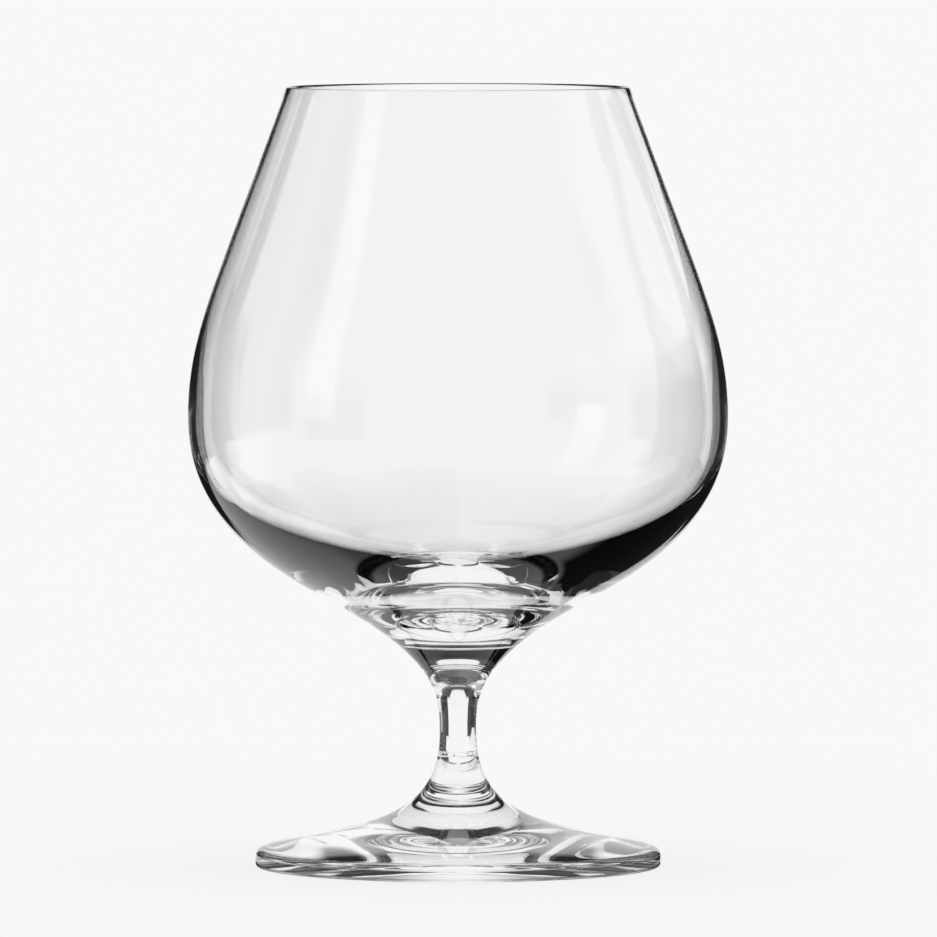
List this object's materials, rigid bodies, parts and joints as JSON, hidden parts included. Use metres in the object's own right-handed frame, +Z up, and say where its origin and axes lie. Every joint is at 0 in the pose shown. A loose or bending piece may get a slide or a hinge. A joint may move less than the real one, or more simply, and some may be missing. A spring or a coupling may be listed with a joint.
{
  "type": "brandy snifter",
  "caption": "Stemmed drinking glass whose wide bowl narrows to the rim, on a short stem and a broad round foot, for brandy.",
  "frame": {"origin": "middle of the foot's underside, on the table", "axes": "+Z up along the glass's axis of revolution, from the foot to the rim; +X and +Y are any two upright directions, as the glass is round"},
  "size_m": [0.104, 0.104, 0.15],
  "materials": {
    "bowl_glass": "clear, thin blown wall with a flame-rounded rim",
    "stem_glass": "clear, solid and smooth",
    "foot_glass": "clear, solid and smooth with a rounded edge"
  },
  "bodies": {
    "root": {"bowl": "bowl_glass", "stem": "stem_glass", "foot": "foot_glass"}
  },
  "joints": []
}
